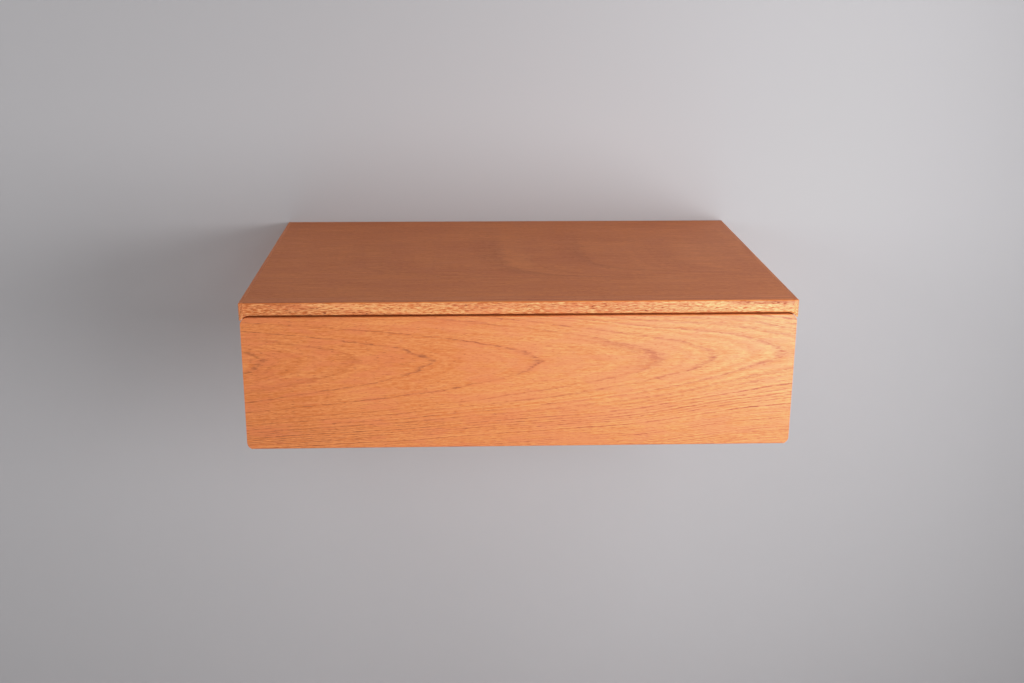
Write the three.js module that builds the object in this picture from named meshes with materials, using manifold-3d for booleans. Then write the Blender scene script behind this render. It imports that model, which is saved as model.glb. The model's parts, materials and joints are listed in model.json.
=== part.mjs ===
// A wall-hung teak box with one wide drawer, as used for a sewing table.
// Millimetres, +X right, +Y towards the wall, +Z up. The origin is the middle of the
// hanging line on the wall plane, so the whole object lies at y <= 0.

import * as THREE from 'three';
import { mergeVertices } from 'three/addons/utils/BufferGeometryUtils.js';
import Module from 'manifold-3d';

const wasm = await Module();
wasm.setup();

// ---- driving dimensions -------------------------------------------------------------

const CASE_WIDTH = 600;
const CASE_DEPTH = 420;
const OVERALL_HEIGHT = 166; // top surface to the drawer front's lower edge
const HANG_DROP = 40; // top surface above the hanging line
const FINGER_EDGE = 14; // drawer front hanging below the case, which the fingers pull on

const BOARD = 19; // top and sides
const FLOOR_BOARD = 16;
const BACK_THICKNESS = 6;
const BACK_RECESS = 18; // wall to back panel, which leaves room for the battens
const BACK_GROOVE = 5.25;

const TOP_FRONT_LIPPING = 22; // wide enough to hold the whole rebate
const TOP_END_LIPPING = 5;
const EDGE_LIPPING = 6;

const FRONT_THICKNESS = 19;
const FRONT_CLEARANCE = 0.5; // drawer front to the case's front edges
const FRONT_INSET = 1; // drawer front's ends inside the case's outer faces
const FRONT_RADIUS = 8; // corners of the drawer front
const REVEAL = 2; // shadow gap above the drawer front
const REBATE_HEIGHT = 5; // stopped rebate under the top's front edge
const REBATE_RADIUS = 11.5; // its ends, which close in on the drawer front's corners

const DRAWER_SIDE = 12;
const DRAWER_PLAY = 1; // drawer side to case side
const DRAWER_LIFT = 3; // drawer sides above the case floor
const DRAWER_SIDE_TOP = 8;
const DRAWER_REAR = -30;
const DRAWER_TRAVEL = 290;
const DRAWER_STOP_WEB = 7; // solid end of the runner groove, behind the drawer front

const PLY = 4; // drawer bottom
const PLY_RISE = 5; // drawer bottom above the sides' lower edges
const PLY_GROOVE = 5;

const TONGUE = { depth: 9, neck: 8, tip: 10.5 }; // sliding dovetails on the drawer sides
const COMB_FINGERS = 7; // comb joints at the drawer's rear corners
const COMB_PITCH = 12.5;

const RUNNER = { thickness: 7.5, low: -52.5, high: -35.5, rear: -60 };
const RUNNER_PLAY = { side: 1, below: 0.75 }; // in the drawer side's groove
const RUNNER_SCREW_PLACES = [-360, -220, -90];

const DIVIDER = { thickness: 6, top: -14, dado: 3, shallowDado: 2 };
const LONG_DIVIDER_X = -60;
const CROSS_DIVIDERS = 3;
const TRAY_DIVIDER_Y = -290;

const SPLINE = { width: 16, thickness: 4, front: -380, rear: -30 };
const BATTEN = { tip: -24, housing: 8 };
const WALL_BATTEN = { halfLength: 270, thickness: 17.5, low: -84, holeZ: -54, holeSpacing: 200 };

const STOP = { halfWidth: 20, depth: 20, low: -6, screwX: 10 };
const BACK_SCREW_SPACING = 220;

const GAP = 0.25; // glue and fitting gap between cut faces
const OVERRUN = 1; // how far a cutter passes the face that it opens
const ARC_STEPS = 12; // per quarter turn
const ROUND_STEPS = 14; // screws and holes

// ---- places that follow from them ---------------------------------------------------

const HALF = CASE_WIDTH / 2;
const INNER = HALF - BOARD;
const TOP_Z = HANG_DROP;
const CEILING_Z = TOP_Z - BOARD;
const FRONT_Y = -CASE_DEPTH;
const CASE_FRONT_Y = FRONT_Y + FRONT_THICKNESS + FRONT_CLEARANCE;
const FRONT_BACK_Y = FRONT_Y + FRONT_THICKNESS;
const FRONT_TOP_Z = CEILING_Z + REBATE_HEIGHT - REVEAL;
const FRONT_BOTTOM_Z = TOP_Z - OVERALL_HEIGHT;
const FRONT_HALF = HALF - FRONT_INSET;
const CASE_BOTTOM_Z = FRONT_BOTTOM_Z + FINGER_EDGE;
const FLOOR_Z = CASE_BOTTOM_Z + FLOOR_BOARD;
const BACK_FACE_Y = -BACK_RECESS;

const DRAWER_HALF = INNER - DRAWER_PLAY;
const DRAWER_INNER = DRAWER_HALF - DRAWER_SIDE;
const DRAWER_LOW_Z = FLOOR_Z + DRAWER_LIFT;
const PLY_Z = DRAWER_LOW_Z + PLY_RISE;
const PLY_TOP_Z = PLY_Z + PLY;
const COMB_LOW_Z = PLY_TOP_Z + GAP;
const COMB_HIGH_Z = COMB_LOW_Z + COMB_FINGERS * COMB_PITCH;
const DRAWER_BACK_Y = DRAWER_REAR - DRAWER_SIDE;

// ---- materials ----------------------------------------------------------------------

const wood = (name, color, roughness) =>
  new THREE.MeshStandardMaterial({ name, color, roughness, metalness: 0 });

const teakVeneer = wood('teak_veneer', 0xb8713f, 0.42);
const teakSolid = wood('teak_solid', 0xc4804a, 0.45);
const beech = wood('beech', 0xd8b88c, 0.5);
const plywood = wood('plywood', 0xcfae82, 0.55);
const pine = wood('pine', 0xdcc393, 0.6);
const steel = new THREE.MeshStandardMaterial({
  name: 'steel', color: 0xb9babc, roughness: 0.35, metalness: 1,
});

// ---- solids -------------------------------------------------------------------------

function solid(geometry) {
  const bare = geometry.clone();
  bare.deleteAttribute('normal');
  bare.deleteAttribute('uv');
  const merged = mergeVertices(bare, 1e-4);
  const index = merged.index.array;
  const triangles = [];
  for (let i = 0; i < index.length; i += 3) {
    const [a, b, c] = [index[i], index[i + 1], index[i + 2]];
    if (a !== b && b !== c && c !== a) triangles.push(a, b, c);
  }
  return new wasm.Manifold(new wasm.Mesh({
    numProp: 3,
    vertProperties: new Float32Array(merged.attributes.position.array),
    triVerts: new Uint32Array(triangles),
  }));
}

function block([x0, x1], [y0, y1], [z0, z1]) {
  const geometry = new THREE.BoxGeometry(x1 - x0, y1 - y0, z1 - z0);
  geometry.translate((x0 + x1) / 2, (y0 + y1) / 2, (z0 + z1) / 2);
  return solid(geometry);
}

function outline(points) {
  return new THREE.Shape(points.map(([u, v]) => new THREE.Vector2(u, v)));
}

function extrude(shape, length) {
  const settings = { depth: length, bevelEnabled: false, curveSegments: ARC_STEPS };
  return new THREE.ExtrudeGeometry(shape, settings);
}

// A plan outline (x, y), standing from z0 to z1.
function upright(points, z0, z1) {
  return solid(extrude(outline(points), z1 - z0).translate(0, 0, z0));
}

// A section (y, z), running from x0 to x1.
function rail(points, x0, x1) {
  const geometry = extrude(outline(points), x1 - x0);
  const yFirst = new THREE.Matrix4().makeBasis(
    new THREE.Vector3(0, 1, 0),
    new THREE.Vector3(0, 0, 1),
    new THREE.Vector3(1, 0, 0),
  );
  return solid(geometry.applyMatrix4(yFirst).translate(x0, 0, 0));
}

// A slab with rounded corners, from y0 back to y1.
function roundedSlab({ half, low, high, radius: r }, y0, y1) {
  const shape = new THREE.Shape();
  shape.absarc(half - r, high - r, r, 0, Math.PI / 2, false);
  shape.absarc(r - half, high - r, r, Math.PI / 2, Math.PI, false);
  shape.absarc(r - half, low + r, r, Math.PI, 1.5 * Math.PI, false);
  shape.absarc(half - r, low + r, r, 1.5 * Math.PI, 2 * Math.PI, false);
  return solid(extrude(shape, y1 - y0).rotateX(Math.PI / 2).translate(0, y1, 0));
}

function geometryOf(manifold) {
  const mesh = manifold.getMesh();
  const geometry = new THREE.BufferGeometry();
  geometry.setAttribute('position', new THREE.BufferAttribute(mesh.vertProperties, 3));
  geometry.setIndex(new THREE.BufferAttribute(mesh.triVerts, 1));
  const faceted = geometry.toNonIndexed();
  faceted.computeVertexNormals();
  return faceted;
}

function piece(name, manifold, material) {
  const mesh = new THREE.Mesh(geometryOf(manifold), material);
  mesh.name = name;
  return mesh;
}

// Swaps a solid to the other hand by turning its x coordinates round.
function handed(side, build) {
  const span = (a, b) => (side > 0 ? [a, b] : [-b, -a]);
  return build(span);
}

const sideName = (side) => (side > 0 ? 'right' : 'left');

// ---- screws -------------------------------------------------------------------------

const SCREWS = {
  runner: { length: 20, shank: 1.75, head: 3.5, cone: 2.2 },
  stop: { length: 33, shank: 1.75, head: 3.5, cone: 2.2 },
  bottom: { length: 16, shank: 1.5, head: 2.75, cone: 1.75 },
  wall: { length: 20, shank: 2.5, head: 5, cone: 3 },
};
const SCREW_RIM = 0.4;
const SCREW_POINT = 3;
const SCREW_SLOT = { width: 1, depth: 0.9 };

// Head face at the local origin facing +Z, point downwards.
function screwProfile({ length, shank, head, cone }, grow, rise) {
  const points = [
    [0, -length - grow],
    [shank + grow, -length + SCREW_POINT],
    [shank + grow, -cone],
    [head + grow, -SCREW_RIM],
    [head + grow, rise],
    [0, rise],
  ];
  const profile = points.map(([r, z]) => new THREE.Vector2(r, z));
  return new THREE.LatheGeometry(profile, ROUND_STEPS).rotateX(Math.PI / 2);
}

function screwSolid(size) {
  const reach = size.head + OVERRUN;
  const slot = block(
    [-reach, reach],
    [-SCREW_SLOT.width / 2, SCREW_SLOT.width / 2],
    [-SCREW_SLOT.depth, OVERRUN],
  );
  return solid(screwProfile(size, 0, 0)).subtract(slot);
}

function facing(direction) {
  const turn = new THREE.Quaternion();
  return turn.setFromUnitVectors(new THREE.Vector3(0, 0, 1), direction);
}

function screwHole(size, place, direction) {
  const geometry = screwProfile(size, GAP, OVERRUN);
  geometry.applyQuaternion(facing(direction)).translate(place.x, place.y, place.z);
  return solid(geometry);
}

function screw(name, size, place, direction) {
  const mesh = piece(name, screwSolid(size), steel);
  mesh.position.copy(place);
  mesh.quaternion.copy(facing(direction));
  return mesh;
}

const DOWN = new THREE.Vector3(0, 0, -1);
const FORWARD = new THREE.Vector3(0, -1, 0);
const inward = (side) => new THREE.Vector3(-side, 0, 0);

const runnerScrewPlaces = (side) => RUNNER_SCREW_PLACES.map((y) =>
  new THREE.Vector3(side * (INNER - RUNNER.thickness), y, (RUNNER.low + RUNNER.high) / 2));

const stopRearY = DRAWER_BACK_Y - DRAWER_TRAVEL - GAP;
const stopScrewPlaces = [-1, 1].map((side) =>
  new THREE.Vector3(side * STOP.screwX, stopRearY - STOP.depth / 2, STOP.low));

const bottomScrewPlaces = [-1, 0, 1].map((step) =>
  new THREE.Vector3(step * BACK_SCREW_SPACING, DRAWER_REAR - DRAWER_SIDE / 2, PLY_Z));

const wallHolePlaces = [-1, 0, 1].map((step) =>
  new THREE.Vector3(step * WALL_BATTEN.holeSpacing, -WALL_BATTEN.thickness, WALL_BATTEN.holeZ));

function withoutHoles(body, size, places, direction) {
  return places.reduce((rest, place) => rest.subtract(screwHole(size, place, direction)), body);
}

// ---- case ---------------------------------------------------------------------------

// The space that the closed drawer front takes, with its shadow gap.
const frontRecess = roundedSlab({
  half: HALF, low: FRONT_BOTTOM_Z, high: FRONT_TOP_Z + REVEAL, radius: REBATE_RADIUS,
}, FRONT_Y - OVERRUN, CASE_FRONT_Y);

const backGroove = block(
  [-INNER - BACK_GROOVE, INNER + BACK_GROOVE],
  [BACK_FACE_Y - BACK_THICKNESS - GAP, BACK_FACE_Y + GAP],
  [FLOOR_Z - BACK_GROOVE, CEILING_Z + BACK_GROOVE],
);

const splineY = [SPLINE.front, SPLINE.rear];
const splineReach = SPLINE.width / 2;

function topSplineSolid(side, grow) {
  const middle = HALF - BOARD / 2;
  const half = SPLINE.thickness / 2 + grow;
  return handed(side, (span) => block(
    span(middle - half, middle + half),
    [splineY[0] - grow, splineY[1] + grow],
    [CEILING_Z - splineReach - grow, CEILING_Z + splineReach + grow],
  ));
}

function bottomSplineSolid(side, grow) {
  const middle = CASE_BOTTOM_Z + FLOOR_BOARD / 2;
  const half = SPLINE.thickness / 2 + grow;
  return handed(side, (span) => block(
    span(INNER - splineReach - grow, INNER + splineReach + grow),
    [splineY[0] - grow, splineY[1] + grow],
    [middle - half, middle + half],
  ));
}

function topBoard() {
  const edge = HALF - TOP_END_LIPPING;
  const body = block([-edge, edge], [FRONT_Y + TOP_FRONT_LIPPING, 0], [CEILING_Z, TOP_Z])
    .subtract(backGroove)
    .subtract(topSplineSolid(-1, GAP))
    .subtract(topSplineSolid(1, GAP));
  return piece('top_board', withoutHoles(body, SCREWS.stop, stopScrewPlaces, DOWN), teakVeneer);
}

function topFrontLipping() {
  const edge = HALF - TOP_END_LIPPING;
  const body = block([-edge, edge], [FRONT_Y, FRONT_Y + TOP_FRONT_LIPPING], [CEILING_Z, TOP_Z]);
  return piece('top_front_lipping', body.subtract(frontRecess), teakSolid);
}

function topEndLipping(side) {
  const body = handed(side, (span) => block(
    span(HALF - TOP_END_LIPPING, HALF), [FRONT_Y, 0], [CEILING_Z, TOP_Z],
  ));
  return piece(`top_${sideName(side)}_end_lipping`, body.subtract(frontRecess), teakSolid);
}

// The batten's section: a hook whose lower edge is cut at 45 degrees.
function battenSection(grow) {
  return [
    [grow, BATTEN.tip - grow],
    [grow, CEILING_Z + grow],
    [BACK_FACE_Y - grow, CEILING_Z + grow],
    [BACK_FACE_Y - grow, BATTEN.tip + BACK_RECESS - grow],
  ];
}

const battenEnd = INNER + BATTEN.housing;

function sideBoard(side) {
  const housing = rail(battenSection(GAP), -battenEnd - GAP, battenEnd + GAP);
  const body = handed(side, (span) => block(
    span(INNER, HALF), [CASE_FRONT_Y + EDGE_LIPPING, 0], [CASE_BOTTOM_Z, CEILING_Z],
  ))
    .subtract(backGroove)
    .subtract(housing)
    .subtract(topSplineSolid(side, GAP))
    .subtract(bottomSplineSolid(side, GAP));
  const drilled = withoutHoles(body, SCREWS.runner, runnerScrewPlaces(side), inward(side));
  return piece(`${sideName(side)}_side_board`, drilled, teakVeneer);
}

function sideLipping(side) {
  const body = handed(side, (span) => block(
    span(INNER, HALF), [CASE_FRONT_Y, CASE_FRONT_Y + EDGE_LIPPING], [CASE_BOTTOM_Z, CEILING_Z],
  ));
  return piece(`${sideName(side)}_side_lipping`, body, teakSolid);
}

function bottomBoard() {
  const body = block([-INNER, INNER], [CASE_FRONT_Y + EDGE_LIPPING, 0], [CASE_BOTTOM_Z, FLOOR_Z])
    .subtract(backGroove)
    .subtract(bottomSplineSolid(-1, GAP))
    .subtract(bottomSplineSolid(1, GAP));
  return piece('bottom_board', body, teakVeneer);
}

function bottomLipping() {
  const depth = [CASE_FRONT_Y, CASE_FRONT_Y + EDGE_LIPPING];
  return piece('bottom_lipping', block([-INNER, INNER], depth, [CASE_BOTTOM_Z, FLOOR_Z]), teakSolid);
}

function backPanel() {
  const reach = BACK_GROOVE - GAP;
  const body = block(
    [-INNER - reach, INNER + reach],
    [BACK_FACE_Y - BACK_THICKNESS, BACK_FACE_Y],
    [FLOOR_Z - reach, CEILING_Z + reach],
  );
  return piece('back_panel', body, plywood);
}

function caseBatten() {
  return piece('case_batten', rail(battenSection(0), -battenEnd, battenEnd), beech);
}

// The other half of the hanger: it stays on the wall, and the case hooks over it.
function wallBatten() {
  const tip = BATTEN.tip - GAP;
  const section = [
    [0, WALL_BATTEN.low],
    [0, tip],
    [-WALL_BATTEN.thickness, tip + WALL_BATTEN.thickness],
    [-WALL_BATTEN.thickness, WALL_BATTEN.low],
  ];
  const body = rail(section, -WALL_BATTEN.halfLength, WALL_BATTEN.halfLength);
  return piece('wall_batten', withoutHoles(body, SCREWS.wall, wallHolePlaces, FORWARD), pine);
}

function runner(side) {
  const body = handed(side, (span) => block(
    span(INNER - RUNNER.thickness, INNER),
    [FRONT_BACK_Y + DRAWER_STOP_WEB + GAP, RUNNER.rear],
    [RUNNER.low, RUNNER.high],
  ));
  const drilled = withoutHoles(body, SCREWS.runner, runnerScrewPlaces(side), inward(side));
  return piece(`${sideName(side)}_runner`, drilled, beech);
}

function stopBlock() {
  const body = block(
    [-STOP.halfWidth, STOP.halfWidth],
    [stopRearY - STOP.depth, stopRearY],
    [STOP.low, CEILING_Z],
  );
  return piece('stop_block', withoutHoles(body, SCREWS.stop, stopScrewPlaces, DOWN), beech);
}

// ---- drawer -------------------------------------------------------------------------

const frontOutline = roundedSlab({
  half: FRONT_HALF, low: FRONT_BOTTOM_Z, high: FRONT_TOP_Z, radius: FRONT_RADIUS,
}, FRONT_Y, FRONT_BACK_Y);

const plyGroove = block(
  [-DRAWER_INNER - PLY_GROOVE, DRAWER_INNER + PLY_GROOVE],
  [FRONT_BACK_Y - PLY_GROOVE, DRAWER_REAR + OVERRUN],
  [PLY_Z - GAP, PLY_TOP_Z + GAP],
);

// The runner's groove in a drawer side, open at the rear. The web it leaves at the front
// meets the runner when the drawer is shut.
function runnerGroove(side) {
  return handed(side, (span) => block(
    span(INNER - RUNNER.thickness - RUNNER_PLAY.side, DRAWER_HALF + OVERRUN),
    [FRONT_BACK_Y + DRAWER_STOP_WEB, DRAWER_REAR + OVERRUN],
    [RUNNER.low - RUNNER_PLAY.below, RUNNER.high + GAP],
  ));
}

function tongueOutline(side, grow) {
  const middle = side * (DRAWER_HALF - DRAWER_SIDE / 2);
  const neck = TONGUE.neck / 2 + grow;
  const tip = TONGUE.tip / 2 + grow;
  return [
    [middle - neck, FRONT_BACK_Y + OVERRUN],
    [middle - neck, FRONT_BACK_Y],
    [middle - tip, FRONT_BACK_Y - TONGUE.depth - grow],
    [middle + tip, FRONT_BACK_Y - TONGUE.depth - grow],
    [middle + neck, FRONT_BACK_Y],
    [middle + neck, FRONT_BACK_Y + OVERRUN],
  ];
}

const dividerZ = [PLY_TOP_Z, DIVIDER.top];
const dividerSpan = (middle, grow) => [
  middle - DIVIDER.thickness / 2 - grow,
  middle + DIVIDER.thickness / 2 + grow,
];

function longDividerSolid(grow) {
  return block(
    dividerSpan(LONG_DIVIDER_X, grow),
    [FRONT_BACK_Y - DIVIDER.dado - grow, DRAWER_BACK_Y + DIVIDER.dado + grow],
    [dividerZ[0] - grow, dividerZ[1] + grow],
  );
}

function crossDividerSolid(index, grow) {
  const bay = (DRAWER_BACK_Y - FRONT_BACK_Y) / (CROSS_DIVIDERS + 1);
  const rightFace = LONG_DIVIDER_X - DIVIDER.thickness / 2;
  return block(
    [-DRAWER_INNER - DIVIDER.dado - grow, rightFace + DIVIDER.shallowDado + grow],
    dividerSpan(FRONT_BACK_Y + bay * index, grow),
    [dividerZ[0] - grow, dividerZ[1] + grow],
  );
}

function trayDividerSolid(grow) {
  const leftFace = LONG_DIVIDER_X + DIVIDER.thickness / 2;
  return block(
    [leftFace - DIVIDER.shallowDado - grow, DRAWER_INNER + DIVIDER.dado + grow],
    dividerSpan(TRAY_DIVIDER_Y, grow),
    [dividerZ[0] - grow, dividerZ[1] + grow],
  );
}

const crossIndices = Array.from({ length: CROSS_DIVIDERS }, (_, i) => i + 1);

function drawerFrontPanel() {
  const tongues = [-1, 1].map((side) =>
    upright(tongueOutline(side, GAP), FRONT_BOTTOM_Z, DRAWER_SIDE_TOP + GAP));
  const body = block(
    [EDGE_LIPPING - FRONT_HALF, FRONT_HALF - EDGE_LIPPING],
    [FRONT_Y, FRONT_BACK_Y],
    [FRONT_BOTTOM_Z + EDGE_LIPPING, FRONT_TOP_Z - EDGE_LIPPING],
  )
    .intersect(frontOutline)
    .subtract(tongues[0])
    .subtract(tongues[1])
    .subtract(plyGroove)
    .subtract(longDividerSolid(GAP));
  return piece('drawer_front_panel', body, teakVeneer);
}

function frontEndLipping(side) {
  const body = handed(side, (span) => block(
    span(FRONT_HALF - EDGE_LIPPING, FRONT_HALF),
    [FRONT_Y, FRONT_BACK_Y],
    [FRONT_BOTTOM_Z, FRONT_TOP_Z],
  ));
  const name = `drawer_front_${sideName(side)}_lipping`;
  return piece(name, body.intersect(frontOutline), teakSolid);
}

function frontLongLipping(name, z0, z1) {
  const edge = FRONT_HALF - EDGE_LIPPING;
  const body = block([-edge, edge], [FRONT_Y, FRONT_BACK_Y], [z0, z1]);
  return piece(name, body.intersect(frontOutline), teakSolid);
}

function drawerSide(side) {
  const board = handed(side, (span) => block(
    span(DRAWER_INNER, DRAWER_HALF), [FRONT_BACK_Y, DRAWER_REAR], [DRAWER_LOW_Z, DRAWER_SIDE_TOP],
  ));
  let body = board
    .add(upright(tongueOutline(side, 0), DRAWER_LOW_Z, DRAWER_SIDE_TOP))
    .subtract(plyGroove)
    .subtract(runnerGroove(side));
  for (let finger = 1; finger < COMB_FINGERS; finger += 2) {
    const low = COMB_LOW_Z + finger * COMB_PITCH;
    body = body.subtract(handed(side, (span) => block(
      span(DRAWER_INNER - OVERRUN, DRAWER_HALF + OVERRUN),
      [DRAWER_BACK_Y, DRAWER_REAR + OVERRUN],
      [low, low + COMB_PITCH],
    )));
  }
  if (side > 0) {
    body = body.subtract(trayDividerSolid(GAP));
  } else {
    for (const index of crossIndices) body = body.subtract(crossDividerSolid(index, GAP));
  }
  return piece(`${sideName(side)}_drawer_side`, body, beech);
}

function drawerBack() {
  const depth = [DRAWER_BACK_Y, DRAWER_REAR];
  let body = block([-DRAWER_INNER, DRAWER_INNER], depth, [COMB_LOW_Z, COMB_HIGH_Z]);
  for (let finger = 1; finger < COMB_FINGERS; finger += 2) {
    const low = COMB_LOW_Z + finger * COMB_PITCH;
    const height = [low + GAP / 2, low + COMB_PITCH - GAP / 2];
    body = body.add(block([-DRAWER_HALF, DRAWER_HALF], depth, height));
  }
  body = body
    .subtract(runnerGroove(-1))
    .subtract(runnerGroove(1))
    .subtract(longDividerSolid(GAP));
  return piece('drawer_back', withoutHoles(body, SCREWS.bottom, bottomScrewPlaces, DOWN), beech);
}

function drawerBottom() {
  const reach = PLY_GROOVE - GAP;
  const body = block(
    [-DRAWER_INNER - reach, DRAWER_INNER + reach],
    [FRONT_BACK_Y - reach, DRAWER_REAR],
    [PLY_Z, PLY_TOP_Z],
  );
  return piece('drawer_bottom', withoutHoles(body, SCREWS.bottom, bottomScrewPlaces, DOWN), plywood);
}

function longDivider() {
  let body = longDividerSolid(0).subtract(trayDividerSolid(GAP));
  for (const index of crossIndices) body = body.subtract(crossDividerSolid(index, GAP));
  return piece('long_divider', body, beech);
}

// ---- assembly -----------------------------------------------------------------------

function buildCase() {
  const group = new THREE.Group();
  group.add(topBoard(), topFrontLipping(), bottomBoard(), bottomLipping());
  group.add(backPanel(), caseBatten(), wallBatten(), stopBlock());
  for (const side of [-1, 1]) {
    const name = sideName(side);
    group.add(topEndLipping(side), sideBoard(side), sideLipping(side), runner(side));
    group.add(piece(`top_${name}_spline`, topSplineSolid(side, 0), beech));
    group.add(piece(`bottom_${name}_spline`, bottomSplineSolid(side, 0), beech));
    runnerScrewPlaces(side).forEach((place, i) => {
      group.add(screw(`${name}_runner_screw_${i + 1}`, SCREWS.runner, place, inward(side)));
    });
  }
  stopScrewPlaces.forEach((place, i) => {
    group.add(screw(`stop_block_screw_${i + 1}`, SCREWS.stop, place, DOWN));
  });
  return group;
}

function buildDrawer() {
  const group = new THREE.Group();
  const edge = EDGE_LIPPING;
  group.add(drawerFrontPanel());
  group.add(frontLongLipping('drawer_front_top_lipping', FRONT_TOP_Z - edge, FRONT_TOP_Z));
  group.add(frontLongLipping('drawer_front_bottom_lipping', FRONT_BOTTOM_Z, FRONT_BOTTOM_Z + edge));
  for (const side of [-1, 1]) group.add(frontEndLipping(side), drawerSide(side));
  group.add(drawerBack(), drawerBottom(), longDivider());
  group.add(piece('tray_divider', trayDividerSolid(0), beech));
  for (const index of crossIndices) {
    group.add(piece(`cross_divider_${index}`, crossDividerSolid(index, 0), beech));
  }
  bottomScrewPlaces.forEach((place, i) => {
    group.add(screw(`drawer_bottom_screw_${i + 1}`, SCREWS.bottom, place, DOWN));
  });
  return group;
}

const sewingTable = new THREE.Group();
sewingTable.add(buildCase(), buildDrawer());

export default sewingTable;
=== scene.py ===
"""Looks for the wall-hung sewing table: fine meshes, wood and metal materials, light and camera."""

import json
import math

import bmesh
import bpy
from mathutils import Matrix, Vector


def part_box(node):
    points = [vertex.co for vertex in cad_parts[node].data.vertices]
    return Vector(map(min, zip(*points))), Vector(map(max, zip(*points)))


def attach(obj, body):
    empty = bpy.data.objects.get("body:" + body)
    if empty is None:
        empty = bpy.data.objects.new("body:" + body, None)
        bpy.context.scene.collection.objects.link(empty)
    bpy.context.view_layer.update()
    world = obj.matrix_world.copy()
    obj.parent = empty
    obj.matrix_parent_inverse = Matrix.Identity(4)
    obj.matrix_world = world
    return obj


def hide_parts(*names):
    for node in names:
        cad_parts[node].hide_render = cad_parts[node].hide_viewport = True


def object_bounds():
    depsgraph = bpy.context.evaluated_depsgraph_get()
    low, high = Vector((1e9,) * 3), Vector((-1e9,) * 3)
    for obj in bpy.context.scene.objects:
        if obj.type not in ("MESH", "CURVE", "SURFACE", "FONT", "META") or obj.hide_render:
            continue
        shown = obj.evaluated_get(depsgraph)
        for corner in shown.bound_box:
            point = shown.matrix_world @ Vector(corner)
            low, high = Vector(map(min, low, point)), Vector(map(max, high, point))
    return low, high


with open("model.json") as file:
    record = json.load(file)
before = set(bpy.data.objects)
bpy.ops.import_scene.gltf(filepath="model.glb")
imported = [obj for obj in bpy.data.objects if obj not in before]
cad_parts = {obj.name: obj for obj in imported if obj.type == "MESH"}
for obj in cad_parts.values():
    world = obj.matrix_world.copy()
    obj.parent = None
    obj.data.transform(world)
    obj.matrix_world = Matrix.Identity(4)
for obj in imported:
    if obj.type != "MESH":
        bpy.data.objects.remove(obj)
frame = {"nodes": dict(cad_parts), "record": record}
CAD_LOW, CAD_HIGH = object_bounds()

MM = 0.001
NODES = frame["nodes"]


# ---- camera ---------------------------------------------------------------------------

SENSOR_WIDTH = 36.0
FOCAL_LENGTH = 44.286
CAMERA_PLACE = Vector((-63.2, -1294.8, 356.3)) * MM  # from the middle of the top's front edge
CAMERA_TURN = (72.816, -0.239, -2.306)  # degrees about x, y and z


def make_camera():
    """The photograph's view: a little left of the middle, above the top, looking down."""
    data = bpy.data.cameras.new("camera")
    data.sensor_width = SENSOR_WIDTH
    data.lens = FOCAL_LENGTH
    camera = bpy.data.objects.new("camera", data)
    bpy.context.scene.collection.objects.link(camera)
    front = Vector((0.0, CAD_LOW.y, CAD_HIGH.z))
    camera.location = front + CAMERA_PLACE
    camera.rotation_euler = [math.radians(angle) for angle in CAMERA_TURN]
    bpy.context.scene.camera = camera


# ---- node trees -----------------------------------------------------------------------

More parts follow.
